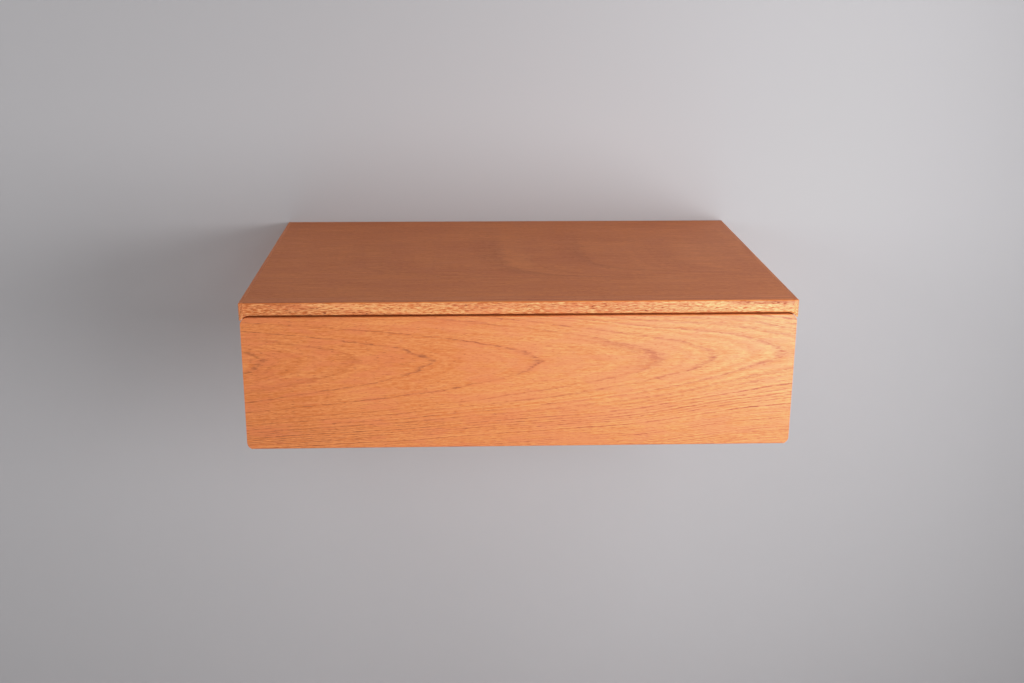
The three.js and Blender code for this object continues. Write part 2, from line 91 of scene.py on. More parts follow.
class Tree:
    """A material's node tree. Every call takes numbers, colours or sockets, and returns a socket."""

    def __init__(self, name):
        self.material = bpy.data.materials.new(name)
        self.material.use_nodes = True
        self.tree = self.material.node_tree
        self.tree.nodes.clear()

    def node(self, kind, **settings):
        made = self.tree.nodes.new("ShaderNode" + kind)
        for key, value in settings.items():
            setattr(made, key, value)
        return made

    def feed(self, socket, value):
        if isinstance(value, bpy.types.NodeSocket):
            self.tree.links.new(value, socket)
        else:
            socket.default_value = value

    def math(self, operation, *values, clamp=False):
        made = self.node("Math", operation=operation, use_clamp=clamp)
        for socket, value in zip(made.inputs, values):
            self.feed(socket, value)
        return made.outputs[0]

    def add(self, a, b):
        return self.math("ADD", a, b)

    def sub(self, a, b):
        return self.math("SUBTRACT", a, b)

    def mul(self, a, b):
        return self.math("MULTIPLY", a, b)

    def div(self, a, b):
        return self.math("DIVIDE", a, b)

    def clamped(self, value):
        return self.math("ADD", value, 0.0, clamp=True)

    def swing(self, noise, size):
        """A noise of 0 to 1 turned into a shift of up to half of size either way."""
        return self.mul(self.sub(noise, 0.5), size)

    def step(self, value, low, high, to_low=0.0, to_high=1.0):
        """Smooth step of value from low to high."""
        made = self.node("MapRange", interpolation_type="SMOOTHSTEP")
        limits = {"From Min": low, "From Max": high, "To Min": to_low, "To Max": to_high}
        for name, number in limits.items():
            self.feed(made.inputs[name], number)
        self.feed(made.inputs["Value"], value)
        return made.outputs["Result"]

    def vector(self, x, y, z):
        made = self.node("CombineXYZ")
        for socket, value in zip(made.inputs, (x, y, z)):
            self.feed(socket, value)
        return made.outputs[0]

    def noise(self, vector, detail=2.0, roughness=0.5, scale=1.0):
        made = self.node("TexNoise", noise_dimensions="3D")
        self.feed(made.inputs["Vector"], vector)
        made.inputs["Scale"].default_value = scale
        made.inputs["Detail"].default_value = detail
        made.inputs["Roughness"].default_value = roughness
        return made.outputs["Fac"]

    def noise_1d(self, value, detail=1.0):
        made = self.node("TexNoise", noise_dimensions="1D")
        self.feed(made.inputs["W"], value)
        made.inputs["Scale"].default_value = 1.0
        made.inputs["Detail"].default_value = detail
        return made.outputs["Fac"]

    def white(self, value):
        made = self.node("TexWhiteNoise", noise_dimensions="1D")
        self.feed(made.inputs["W"], value)
        return made.outputs["Value"]

    def ramp(self, value, stops):
        """Grey ramp through (position, brightness) stops."""
        made = self.node("ValToRGB")
        self.feed(made.inputs[0], value)
        elements = made.color_ramp.elements
        while len(elements) < len(stops):
            elements.new(0.5)
        for element, (position, level) in zip(elements, stops):
            element.position = position
            element.color = (level, level, level, 1.0)
        return made.outputs["Color"]

    def mix(self, share, a, b):
        """Colour a turning into colour b."""
        made = self.node("Mix", data_type="RGBA")
        self.feed(made.inputs["Factor"], share)
        for name, value in (("A", a), ("B", b)):
            socket = next(s for s in made.inputs if s.name == name and s.type == "RGBA")
            self.feed(socket, value if isinstance(value, bpy.types.NodeSocket) else (*value, 1.0))
        return next(s for s in made.outputs if s.type == "RGBA")

    def finish(self, color, roughness, height=None, bump=0.0, **constant):
        """Principled shader with the bump height in millimetres."""
        shader = self.node("BsdfPrincipled")
        self.feed(shader.inputs["Base Color"], color)
        self.feed(shader.inputs["Roughness"], roughness)
        for name, value in constant.items():
            shader.inputs[name.replace("_", " ")].default_value = value
        if height is not None:
            made = self.node("Bump")
            made.inputs["Strength"].default_value = bump
            made.inputs["Distance"].default_value = MM
            self.feed(made.inputs["Height"], height)
            self.tree.links.new(made.outputs[0], shader.inputs["Normal"])
        output = self.node("OutputMaterial")
        self.tree.links.new(shader.outputs[0], output.inputs["Surface"])
        return self.material


def linear(red, green, blue):
    """An sRGB colour, 0 to 255, as linear light."""
    def one(level):
        level = level / 255.0
        return level / 12.92 if level <= 0.04045 else ((level + 0.055) / 1.055) ** 2.4
    return one(red), one(green), one(blue)


def grain_space(t, grain):
    """Millimetres along the grain, across it and into the board. grain names their axes in order."""
    coordinates = t.node("TexCoord").outputs["Object"]
    split = t.node("SeparateXYZ")
    t.feed(split.inputs[0], coordinates)
    return [t.mul(split.outputs[axis.upper()], 1.0 / MM) for axis in grain]


def grain_noise(t, along, across, per_along, per_across, layer, detail=2.0):
    """Noise drawn out along the grain. layer sets it apart from the other noises."""
    return t.noise(t.vector(t.mul(along, per_along), t.mul(across, per_across), layer), detail)


# ---- wood figures -----------------------------------------------------------------------
# A figure takes a place in grain space, in mm. It returns the ring lines, 0 between them and 1 on a
# dark one, and the slow tone between the lines, about 0.5.
# Ring tables: place of the ring's apex along the board, darkness, width of its slow rise.

FRONT_RINGS = (
    (-276, 0.80, 9), (-176, 0.30, 22), (-97, 0.95, 8), (25, 0.95, 9),
    (154, 0.60, 13), (213, 0.90, 11), (284, 0.90, 10), (338, 0.80, 12),
)
FRONT_SMEAR = ((152, 1.00, 34),)
FRONT_RAMP = (-400.0, 800.0)  # start and length of the stretch that the front's tables cover
TOP_OUTER = ((-160, 0.40, 60), (-20, 1.00, 34))
TOP_INNER = ((85, 0.90, 26), (190, 0.35, 30))
TOP_LIGHTS = ((12, 1.00, 26),)
TOP_RAMP = (-600.0, 1200.0)
TOP_AXIS = -125.0  # the arcs' axis across the top
TOP_WIDE_ARC = 195.0  # half width at which an arc turns back along the board
TOP_NARROW_ARC = 172.0


def ring_ramp(t, rings, table, ramp):
    """Darkness along the ring coordinate: a slow rise to each ring and a quick fall after it."""
    start, length = ramp
    stops = [(0.0, 0.0)]
    for apex, dark, width in table:
        for place, level in ((apex - width, 0.0), (apex, dark), (apex + width / 3, 0.0)):
            stops.append(((place - start) / length, level))
    return t.ramp(t.div(t.sub(rings, start), length), stops)


def ring_lines(t, rings, spacing, jitter):
    """Dark lines at an even spacing in the ring coordinate, each with a darkness of its own."""
    swing = t.mul(t.noise_1d(t.mul(rings, 0.37 / spacing)), jitter)
    count = t.add(t.div(rings, spacing), swing)
    share = t.math("FRACT", count)
    number = t.math("FLOOR", count)
    line = t.mul(t.step(share, 0.45, 0.93), t.step(share, 1.0, 0.95))
    return t.mul(line, t.add(0.25, t.mul(t.white(number), 0.75)))


def wavy(t, rings, along, across, coarse, fine):
    """Shakes the ring coordinate, as annual rings wander."""
    slow = grain_noise(t, along, across, per_along=0.018, per_across=0.10, layer=1.7)
    quick = grain_noise(t, along, across, per_along=0.10, per_across=0.60, layer=9.2)
    return t.add(t.add(rings, t.swing(slow, coarse)), t.swing(quick, fine))


def front_rings(t, along, across, offset):
    """Ring coordinate of the drawer front: the arcs are narrower and more pointed above their axis."""
    reach = t.math("ABSOLUTE", offset)
    square = t.mul(offset, offset)
    above = t.step(offset, -1.0, 1.0)
    rough = t.add(along, t.div(square, 9.0))
    spread_above = t.step(rough, 0.0, 170.0, 7.0, 11.0)
    spread = t.add(11.0, t.mul(above, t.sub(spread_above, 11.0)))
    point = t.mul(reach, t.add(0.2, t.mul(above, 0.6)))
    rings = t.add(t.add(along, point), t.div(square, spread))
    return wavy(t, rings, along, across, coarse=30.0, fine=17.0)


def front_lines(t, rings):
    """The table's main rings, even rings beyond them, and faint ones between."""
    main = ring_ramp(t, rings, FRONT_RINGS, FRONT_RAMP)
    outer = t.mul(ring_lines(t, rings, spacing=34.0, jitter=1.4), t.step(rings, 320.0, 380.0))
    inner = t.mul(ring_lines(t, t.add(rings, 37.0), spacing=17.0, jitter=1.5), 0.25)
    return t.math("MAXIMUM", t.math("MAXIMUM", main, t.mul(outer, 1.3)), inner)


def front_figure(t, along, across, _depth):
    """The drawer front's cathedral: pointed arcs that close to the right, high on the board."""
    wander = grain_noise(t, along, across, per_along=0.006, per_across=0.02, layer=3.1, detail=1.0)
    axis = t.add(t.step(along, 110.0, 270.0, -25.0, -17.0), t.swing(wander, 5.0))
    offset = t.sub(across, axis)
    rings = front_rings(t, along, across, offset)
    lines = t.mul(front_lines(t, rings), dashes(t, along, across))
    heart = t.step(t.math("ABSOLUTE", t.sub(offset, 5.0)), 24.0, 8.0)
    mottle = grain_noise(t, along, across, per_along=0.12, per_across=0.25, layer=4.4)
    smear = t.mul(ring_ramp(t, rings, FRONT_SMEAR, FRONT_RAMP), heart)
    patch = t.mul(smear, t.step(mottle, 0.30, 0.55))
    return t.math("MAXIMUM", lines, t.mul(patch, 0.9)), ring_tone(t, rings, 19.0)


def dashes(t, along, across):
    """Ring lines come and go: broken into dashes, fainter over longer stretches."""
    short = grain_noise(t, along, across, per_along=0.09, per_across=0.5, layer=6.6)
    stretch = grain_noise(t, along, across, per_along=0.014, per_across=0.05, layer=2.3, detail=1.0)
    return t.mul(t.step(short, 0.34, 0.60, 0.35, 1.25), t.step(stretch, 0.34, 0.56, 0.75, 1.15))


def ring_tone(t, rings, width):
    """Lighter and darker years between the lines."""
    return t.noise_1d(t.div(rings, width), 2.0)


def top_arc(t, along, offset, limit):
    """Ring coordinate of a wide arc that turns back where the offset nears the limit."""
    share = t.div(offset, limit)
    flank = t.mul(t.math("POWER", share, 6.0), 90.0)
    edge = t.mul(t.math("POWER", share, 24.0), 110.0)
    return t.sub(along, t.add(flank, edge))


def top_figure(t, along, across, _depth):
    """The top's quiet figure: wide arcs that close to the left, hardly darker than the ground."""
    offset = t.math("ABSOLUTE", t.sub(across, TOP_AXIS))
    shaken = wavy(t, along, along, across, coarse=30.0, fine=6.0)
    wide = top_arc(t, shaken, offset, TOP_WIDE_ARC)
    outer = ring_ramp(t, wide, TOP_OUTER, TOP_RAMP)
    inner = ring_ramp(t, top_arc(t, shaken, offset, TOP_NARROW_ARC), TOP_INNER, TOP_RAMP)
    fade = t.step(across, -60.0, -190.0, 0.15, 1.0)
    lines = t.mul(t.math("MAXIMUM", outer, inner), fade)
    lines = t.math("MAXIMUM", lines, t.mul(ring_lines(t, wide, spacing=60.0, jitter=1.1), 0.15))
    light = t.mul(ring_ramp(t, wide, TOP_LIGHTS, TOP_RAMP), t.mul(fade, 0.35))
    years = t.mul(t.sub(ring_tone(t, wide, 40.0), 0.5), t.mul(fade, 0.8))
    return lines, t.sub(t.add(years, 0.5), light)


def straight_figure(t, along, across, depth):
    """Nearly straight grain, as on quarter-sawn boards and thin strips."""
    wander = grain_noise(t, along, across, per_along=0.006, per_across=0.03, layer=t.mul(depth, 0.03))
    rings = t.add(t.add(across, t.mul(depth, 0.45)), t.swing(wander, 22.0))
    return t.mul(ring_lines(t, rings, spacing=5.2, jitter=1.2), 0.8), ring_tone(t, rings, 7.0)


# The heart of the solid strips' tree lies this far below zero across the grain and in depth.
HEART_ACROSS = 31.0
HEART_DEPTH = 44.0


def curved_figure(t, along, across, depth):
    """Solid strips: rings about a distant heart, so end grain shows them as arcs."""
    sideways = t.add(across, HEART_ACROSS)
    down = t.add(depth, HEART_DEPTH)
    reach = t.math("SQRT", t.add(t.mul(sideways, sideways), t.mul(down, down)))
    wander = grain_noise(t, along, across, per_along=0.008, per_across=0.06, layer=t.mul(depth, 0.06))
    rings = t.add(t.add(reach, t.mul(along, 0.012)), t.swing(wander, 7.0))
    return t.mul(ring_lines(t, rings, spacing=3.4, jitter=1.0), 0.9), ring_tone(t, rings, 4.0)


# ---- woods --------------------------------------------------------------------------------

TEAK = {
    "light": linear(216, 133, 76),
    "deep": linear(190, 103, 47),
    "rosy": linear(204, 113, 70),
    "ring": linear(128, 66, 34),
    "pore": linear(112, 50, 18),
    "roughness": 0.46,
    "specular": 0.5,
}
# The top's teak: darker and redder than TEAK. The darkening is painted shade, for the top takes less
# light than the front.
TEAK_TOP_SHADED = dict(
    TEAK, light=linear(211, 123, 58), deep=linear(182, 92, 36), rosy=linear(193, 104, 52),
    ring=linear(146, 66, 26), specular=0.22,
)
TEAK_SOLID = dict(
    TEAK, light=linear(230, 158, 102), deep=linear(176, 93, 44), pore=linear(92, 34, 10),
)
BEECH = {
    "light": linear(222, 188, 148),
    "deep": linear(206, 164, 120),
    "ring": linear(186, 138, 96),
    "pore": linear(164, 112, 72),
    "rosy": linear(214, 166, 132),
    "roughness": 0.5,
    "specular": 0.4,
}
PLY = dict(
    BEECH, light=linear(224, 196, 156), deep=linear(212, 178, 134), ring=linear(196, 156, 112),
)
PINE = {
    "light": linear(230, 200, 150),
    "deep": linear(222, 184, 128),
    "ring": linear(190, 134, 78),
    "pore": linear(200, 156, 104),
    "rosy": linear(226, 184, 136),
    "roughness": 0.58,
    "specular": 0.35,
}


# Streaks: noise per mm along and across the grain, its detail, and its place in the noise.
CLOUD = (0.007, 0.022, 2.0, 0.0)
FIBRE = (0.02, 0.5, 3.0, 4.0)
HAIR = (0.15, 1.1, 2.0, 8.0)
SHORT_PORES = (0.16, 1.3, 1.0, 15.0)
LONG_PORES = (0.06, 1.0, 1.0, 21.0)
BLUSH = (0.025, 0.12, 2.0, 30.0)

BUMP = 0.5
LIPPING_SPECULAR = 0.3
TOP_BLEND = (1.5, 0.1)  # depths below the top's face between which a lipping's edge turns to its face
FRONT_BLEND = (1.8, 0.9)  # the same behind the drawer front's face
RAW_REAR = (-0.6, -0.2)  # places before the wall plane between which the veneer ends
CORE_EDGE = 0.1
CORE_PALE = linear(222, 190, 146)
CORE_DARK = linear(178, 138, 96)
VENEER = 0.8
BLOCK = 24.0  # width of a core's pine block
PLIES = 5
FRONT_LOOK = {"ring_share": 0.62, "seed": 7.0}
BEECH_LOOK = {"pores": 0.5, "ring_share": 0.3}


def streaks(t, place, kind, seed):
    along, across, depth = place
    per_along, per_across, detail, offset = kind
    spot = t.vector(
        t.add(t.mul(along, per_along), seed + offset),
        t.mul(across, per_across),
        t.mul(depth, per_across),
    )
    return t.noise(spot, detail)


def ground_colour(t, colours, place, fibre, band, fleck, seed):
    """The wood between its ring lines: streaks from light to deep, with a rosy blush."""
    cloud = streaks(t, place, CLOUD, seed)
    hair = streaks(t, place, HAIR, seed)
    tone = 0.5
    for shade, strength in ((cloud, 0.9), (fibre, 1.5), (hair, 2.4 * fleck), (band, 1.3)):
        tone = t.add(tone, t.swing(shade, strength))
    ground = t.mix(t.clamped(tone), colours["light"], colours["deep"])
    blush = t.step(streaks(t, place, BLUSH, seed), 0.42, 0.64, 0.0, 0.5)
    return t.mix(blush, ground, colours["rosy"])


def pore_marks(t, place, ring, seed):
    """Short and long pores, thicker near a ring line."""
    near_ring = t.mul(ring, 0.12)
    short = t.add(streaks(t, place, SHORT_PORES, seed), near_ring)
    long_ = t.add(streaks(t, place, LONG_PORES, seed), near_ring)
    return t.math("MAXIMUM", t.step(short, 0.62, 0.74), t.mul(t.step(long_, 0.66, 0.78), 0.7))


def wood_layer(t, colours, place, figure, pores=1.0, ring_share=0.55, fleck=1.0, seed=0.0):
    """Colour, roughness and bump height of one kind of wood at a place in grain space."""
    ring, band = figure(t, *place)
    fibre = streaks(t, place, FIBRE, seed)
    pore = t.mul(pore_marks(t, place, ring, seed), pores)
    color = ground_colour(t, colours, place, fibre, band, fleck, seed)
    color = t.mix(t.mul(ring, ring_share), color, colours["ring"])
    color = t.mix(t.mul(pore, 0.5), color, colours["pore"])
    rough = t.add(colours["roughness"], t.add(t.mul(pore, 0.15), t.swing(fibre, 0.12)))
    height = t.sub(t.mul(fibre, 0.05), t.mul(pore, 0.08))
    return color, rough, height


def wood(name, colours, grain, figure, **look):
    """A piece of wood with the grain along the first of the axes in grain."""
    t = Tree(name)
    color, rough, height = wood_layer(t, colours, grain_space(t, grain), figure, **look)
    return t.finish(color, rough, height, BUMP, Specular_IOR_Level=colours["specular"])


def blend(t, share, first, second):
    """Colour, roughness and height going from the first layer to the second."""
    color = t.mix(share, first[0], second[0])
    rough, height = (t.add(a, t.mul(share, t.sub(b, a))) for a, b in zip(first[1:], second[1:]))
    return color, rough, height


def top_lipping_wood(name, grain, seed):
    """A strip of the top: on its upper face the top's darker teak, which is painted shade; paler on
    the edges.
    """
    t = Tree(name)
    turned = grain[0] + grain[2] + grain[1]
    edge = wood_layer(t, TEAK_SOLID, grain_space(t, grain), curved_figure,
                      pores=2.2, ring_share=0.6, fleck=2.2, seed=seed)
    # The upper face's layer: the top's darker teak, painted shade.
    face = wood_layer(t, TEAK_TOP_SHADED, grain_space(t, turned), straight_figure,
                      pores=0.6, ring_share=0.2, fleck=0.8, seed=seed)
    low, high = (CAD_HIGH.z / MM - depth for depth in TOP_BLEND)
    share = t.step(grain_space(t, "z")[0], low, high)
    return t.finish(*blend(t, share, edge, face), BUMP, Specular_IOR_Level=LIPPING_SPECULAR)


def front_lipping_wood(name, grain, seed):
    """A strip round the drawer front: the front's veneer on its face, its own grain on the edges."""
    t = Tree(name)
    edge = wood_layer(t, TEAK, grain_space(t, grain), straight_figure,
                      pores=0.7, ring_share=0.3, fleck=1.0, seed=seed)
    face = wood_layer(t, TEAK, grain_space(t, "xzy"), front_figure, **FRONT_LOOK)
    rear, front = (CAD_LOW.y / MM + depth for depth in FRONT_BLEND)
    share = t.step(grain_space(t, "y")[0], rear, front)
    return t.finish(*blend(t, share, edge, face), BUMP, Specular_IOR_Level=TEAK["specular"])


def block_core(t, run):
    """Colour of a core of pine blocks, side by side along the axis run."""
    along, *across = grain_space(t, run + "xyz".replace(run, ""))
    number = t.math("FLOOR", t.div(along, BLOCK))
    streak = t.noise(t.vector(t.mul(along, 0.9), t.mul(across[0], 0.3), t.mul(across[1], 0.3)), 2.0)
    share = t.add(t.mul(t.white(number), 0.5), t.mul(streak, 0.6))
    return t.mix(share, CORE_PALE, CORE_DARK)


def board_wood(name, colours, grain, figure, node, axis, **look):
    """Veneer on a core. The core shows on the raw rear edge, between the two veneers."""
    t = Tree(name)
    color, rough, height = wood_layer(t, colours, grain_space(t, grain), figure, **look)
    low, high = (corner["xyz".index(axis)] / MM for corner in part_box(node))
    through, rear = grain_space(t, axis + "y")
    from_middle = t.math("ABSOLUTE", t.sub(through, (low + high) / 2))
    glue_line = (high - low) / 2 - VENEER
    core = t.step(from_middle, glue_line, glue_line - CORE_EDGE)
    core = t.mul(core, t.step(rear, *RAW_REAR))
    color = t.mix(core, color, block_core(t, "x" if axis == "z" else "z"))
    return t.finish(color, rough, height, BUMP, Specular_IOR_Level=colours["specular"])


def plywood(name, grain, node, seed):
    """Plywood: the plies show on the edges. The last of the axes in grain is the thickness."""
    t = Tree(name)
    place = grain_space(t, grain)
    look = {"pores": 0.3, "ring_share": 0.4, "seed": seed}
    color, rough, height = wood_layer(t, PLY, place, top_figure, **look)
    low, high = (corner["xyz".index(grain[2])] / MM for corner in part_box(node))
    count = t.mul(t.sub(place[2], low), PLIES / (high - low))
    count = t.math("MINIMUM", t.math("MAXIMUM", count, 0.1), PLIES - 0.1)
    crosswise = t.math("MODULO", t.math("FLOOR", count), 2.0)
    color = t.mix(t.mul(crosswise, 0.6), color, PLY["pore"])
    return t.finish(color, rough, height, BUMP, Specular_IOR_Level=PLY["specular"])


# ---- meshes from the CAD nodes ----------------------------------------------------------

FLAT_ANGLE = math.radians(0.6)
ARRIS_ANGLE = math.radians(35)
SMOOTH_ANGLE = math.radians(32)
SHORTEST_ARRIS = 4 * MM
SHORTEST_SIDE = 10 * MM
SHARED_CORNER = 0.004 * MM  # CAD corners nearer than this are one
BEVEL_STEPS = 4
TOUCH = 0.05 * MM


def link(name, bm, material, slot, body, *replaced):
    mesh = bpy.data.meshes.new(name)
    bmesh.ops.recalc_face_normals(bm, faces=bm.faces)
    bm.to_mesh(mesh)
    bm.free()
    mesh.shade_smooth()
    mesh.set_sharp_from_angle(angle=SMOOTH_ANGLE)
    mesh.materials.append(material)
    piece = bpy.data.objects.new(name, mesh)
    bpy.context.scene.collection.objects.link(piece)
    weighted = piece.modifiers.new("even_normals", "WEIGHTED_NORMAL")
    weighted.keep_sharp = True
    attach(piece, body)
    if replaced:
        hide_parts(*replaced)
    return piece


def cad_copy(node):
    """The node's solid with shared corners and whole flat faces."""
    bm = bmesh.new()
    bm.from_mesh(NODES[node].data)
    bmesh.ops.remove_doubles(bm, verts=bm.verts, dist=SHARED_CORNER)
    bmesh.ops.dissolve_limit(bm, angle_limit=FLAT_ANGLE, verts=bm.verts, edges=bm.edges)
    return bm


def is_arris(edge):
    """A sharp outer edge, not the inner corner of a groove."""
    if len(edge.link_faces) != 2 or not edge.is_convex:
        return False
    return edge.calc_face_angle(0.0) > ARRIS_ANGLE


def is_long(edge):
    return edge.calc_length() > SHORTEST_ARRIS


def is_side(edge):
    return edge.calc_length() > SHORTEST_SIDE


def ease(bm, radius, chosen, limited=True):
    """Rounds the arrises that chosen(edge) picks. If limited, only as far as the neighbours allow."""
    edges = [e for e in bm.edges if is_arris(e) and chosen(e)]
    if edges:
        bmesh.ops.bevel(
            bm, geom=edges, offset=radius, offset_type="OFFSET", segments=BEVEL_STEPS,
            profile=0.5, affect="EDGES", clamp_overlap=limited,
        )


def middle(edge):
    return (edge.verts[0].co + edge.verts[1].co) / 2


def near(value, target, room=TOUCH):
    return abs(value - target) < room


def body_of(node):
    bodies = frame["record"]["behaviour"]["bodies"]
    return next(body for body, names in bodies.items() if node in names)


def fine(node, material, slot, *steps):
    """A finer mesh in place of a CAD node. Each step is a radius and a choice of arrises to round."""
    bm = cad_copy(node)
    for step in steps:
        ease(bm, *step)
    return link(node + "_fine", bm, material, slot, body_of(node), node)


# ---- the pieces -------------------------------------------------------------------------

JOINT = 0.1 * MM  # the hairline where two pieces meet
FACE_ARRIS = 1.8 * MM  # round the drawer front, and along the top's front edge
UNDER_ARRIS = 2.0 * MM  # the top's front edge, below
END_ARRIS = 1.0 * MM  # the top's end lippings
CASE_ARRIS = 0.8 * MM
REAR_ARRIS = 0.6 * MM
DRAWER_ARRIS = 0.5 * MM
FLOOR_ARRIS = 0.4 * MM
SPLINE_ARRIS = 0.3 * MM
PLY_ARRIS = 0.2 * MM
FRONT_BAND = 6 * MM  # how far from a level the middle of a front arris may lie


def make_top():
    front, rear, under = CAD_LOW.y, 0.0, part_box("top_front_lipping")[0].z
    upper = CAD_HIGH.z

    def at_front(edge, level):
        return near(middle(edge).y, front) and near(middle(edge).z, level, FRONT_BAND)

    def at_rear(edge):
        return near(middle(edge).y, rear) and is_long(edge)

    def on_face(edge):
        return near(middle(edge).z, upper) and is_long(edge)

    # The top's veneer takes the darker top teak: painted shade.
    veneer = board_wood("teak_top", TEAK_TOP_SHADED, "xyz", top_figure, "top_board", "z",
                        ring_share=0.22, pores=0.5, seed=31.0)
    strip = top_lipping_wood("teak_top_lipping", "xzy", 3.0)
    ends = top_lipping_wood("teak_top_ends", "yzx", 13.0)
    fine("top_board", veneer, "teak_veneer", (REAR_ARRIS, at_rear), (JOINT, on_face))
    fine("top_front_lipping", strip, "teak_solid",
         (FACE_ARRIS, lambda e: at_front(e, upper)),
         (UNDER_ARRIS, lambda e: at_front(e, under), False),
         (JOINT, on_face))
    for side, outer in (("left", CAD_LOW.x), ("right", CAD_HIGH.x)):
        fine(f"top_{side}_end_lipping", ends, "teak_solid",
             (END_ARRIS, lambda e: near(middle(e).x, outer) or at_front(e, upper)),
             (JOINT, on_face))


def make_sides():
    for side, outer, seed in (("left", CAD_LOW.x, 40.0), ("right", CAD_HIGH.x, 50.0)):
        board, lipping = f"{side}_side_board", f"{side}_side_lipping"
        veneer = board_wood(f"teak_{side}_side", TEAK, "yzx", straight_figure, board, "x",
                            pores=0.8, ring_share=0.45, seed=seed)
        strip = wood(f"teak_{side}_side_lipping", TEAK_SOLID, "zyx", curved_figure, seed=seed + 3.0)
        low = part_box(board)[0].z
        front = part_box(lipping)[0].y
        fine(board, veneer, "teak_veneer",
             (CASE_ARRIS, lambda e: is_long(e) and near(middle(e).z, low)),
             (JOINT, lambda e: is_long(e) and near(middle(e).x, outer)))
        fine(lipping, strip, "teak_solid",
             (CASE_ARRIS, lambda e: near(middle(e).z, low) or near(middle(e).y, front)))


def make_floor_board():
    veneer = board_wood("teak_floor_board", TEAK, "xyz", straight_figure, "bottom_board", "z",
                        pores=0.8, seed=61.0)
    strip = wood("teak_floor_lipping", TEAK_SOLID, "xzy", curved_figure, seed=63.0)
    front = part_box("bottom_lipping")[0].y
    fine("bottom_board", veneer, "teak_veneer",
         (FLOOR_ARRIS, lambda e: near(middle(e).y, 0.0) and is_long(e)))
    fine("bottom_lipping", strip, "teak_solid", (CASE_ARRIS, lambda e: near(middle(e).y, front)))


def make_drawer_front():
    veneer = wood("teak_front", TEAK, "xzy", front_figure, **FRONT_LOOK)
    across = front_lipping_wood("teak_front_strip", "xyz", 73.0)
    upright = front_lipping_wood("teak_front_end", "zyx", 77.0)
    low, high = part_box("drawer_front_panel")

    def on_face(edge):
        return near(middle(edge).y, low.y) or near(middle(edge).y, high.y)

    def on_joint(edge, axes):
        place = middle(edge)
        return any(near(place[axis], low[axis]) or near(place[axis], high[axis]) for axis in axes)

    fine("drawer_front_panel", veneer, "teak_veneer", (JOINT, on_face))
    strips = (
        # name, material, axes on which a face of the panel's box is a joint
        ("top", across, (0, 2)),
        ("bottom", across, (0, 2)),
        ("left", upright, (0,)),
        ("right", upright, (0,)),
    )
    for name, material, axes in strips:
        fine(f"drawer_front_{name}_lipping", material, "teak_solid",
             (FACE_ARRIS, lambda e: on_face(e) and not on_joint(e, axes)),
             (JOINT, on_face))


def beech(name, grain, seed):
    return wood(name, BEECH, grain, straight_figure, seed=seed, **BEECH_LOOK)


def make_drawer_box():
    side_wood = beech("beech_sides", "yzx", 81.0)
    cross_wood = beech("beech_across", "xzy", 85.0)
    for node in ("left_drawer_side", "right_drawer_side", "long_divider"):
        fine(node, side_wood, "beech", (DRAWER_ARRIS, is_long))
    cross_dividers = [f"cross_divider_{number}" for number in (1, 2, 3)]
    for node in ("drawer_back", "tray_divider", *cross_dividers):
        fine(node, cross_wood, "beech", (DRAWER_ARRIS, is_long))
    ply = plywood("ply_drawer", "xyz", "drawer_bottom", 91.0)
    fine("drawer_bottom", ply, "plywood", (PLY_ARRIS, is_side))


def make_fittings():
    runner_wood = beech("beech_runner", "yzx", 95.0)
    rail_wood = beech("beech_rail", "xzy", 97.0)
    pine = wood("pine_batten", PINE, "xzy", curved_figure, pores=0.2, ring_share=0.6, seed=99.0)
    for node in ("left_runner", "right_runner"):
        fine(node, runner_wood, "beech", (CASE_ARRIS, is_side))
    for node in ("case_batten", "stop_block"):
        fine(node, rail_wood, "beech", (CASE_ARRIS, is_side))
    for level in ("top", "bottom"):
        for side in ("left", "right"):
            fine(f"{level}_{side}_spline", runner_wood, "beech", (SPLINE_ARRIS, is_long))
    fine("wall_batten", pine, "pine", (CASE_ARRIS, is_side))
    ply = plywood("ply_back", "xzy", "back_panel", 92.0)
    fine("back_panel", ply, "plywood", (PLY_ARRIS, is_side))


def steel(name):
    t = Tree(name)
    along, across, depth = grain_space(t, "xyz")
    patch = t.noise(t.vector(t.mul(along, 0.4), t.mul(across, 0.4), t.mul(depth, 0.4)), 3.0)
    color = t.mix(patch, linear(196, 198, 196), linear(164, 164, 158))
    return t.finish(color, t.add(0.28, t.mul(patch, 0.2)), patch, bump=0.05, Metallic=1.0)


# Screws are drawn in mm.
SCREW_CORNERS = 40
SCREW_PITCH = 1.3
THREAD_ROWS = 6  # rows of corners in one turn of the thread
THREAD_DEPTH = 0.35
RIDGE_SHARE = 0.3  # half of the ridge's width, as a share of the pitch
SCREW_POINT = 3.0
HEAD_CONE = 0.628  # depth of the head for a radius of 1
RIM_BEVEL = 0.15
RIM_DEPTH = 0.4
PLAIN_SHANK = 1.5
SLOT_WIDTH = 1.0
SLOT_DEPTH = 0.9


def thread_radius(shank, level, tip, angle):
    """Radius of the threaded shank in mm: a helical ridge on a core that narrows to the point."""
    phase = (level / SCREW_PITCH + angle / math.tau) % 1.0
    ridge = max(0.0, 1.0 - abs(phase - 0.5) / RIDGE_SHARE)
    full = shank - THREAD_DEPTH * (1.0 - ridge)
    return full * min(1.0, max(0.0, (level - tip) / SCREW_POINT))


def screw_rows(length, head):
    """Rows of (level, radius at an angle), from the head's face at level 0 down to the point."""
    shank, cone = head / 2, head * HEAD_CONE
    core = shank - THREAD_DEPTH
    plain = ((0.0, head - RIM_BEVEL), (-RIM_BEVEL, head), (-RIM_DEPTH, head),
             (-cone, core), (-cone - PLAIN_SHANK, core))
    rows = [(level, lambda a, radius=radius: radius) for level, radius in plain]
    step = SCREW_PITCH / THREAD_ROWS
    level = -cone - PLAIN_SHANK - step
    while level > -length + step:
        rows.append((level, lambda a, level=level: thread_radius(shank, level, -length, a)))
        level -= step
    return rows


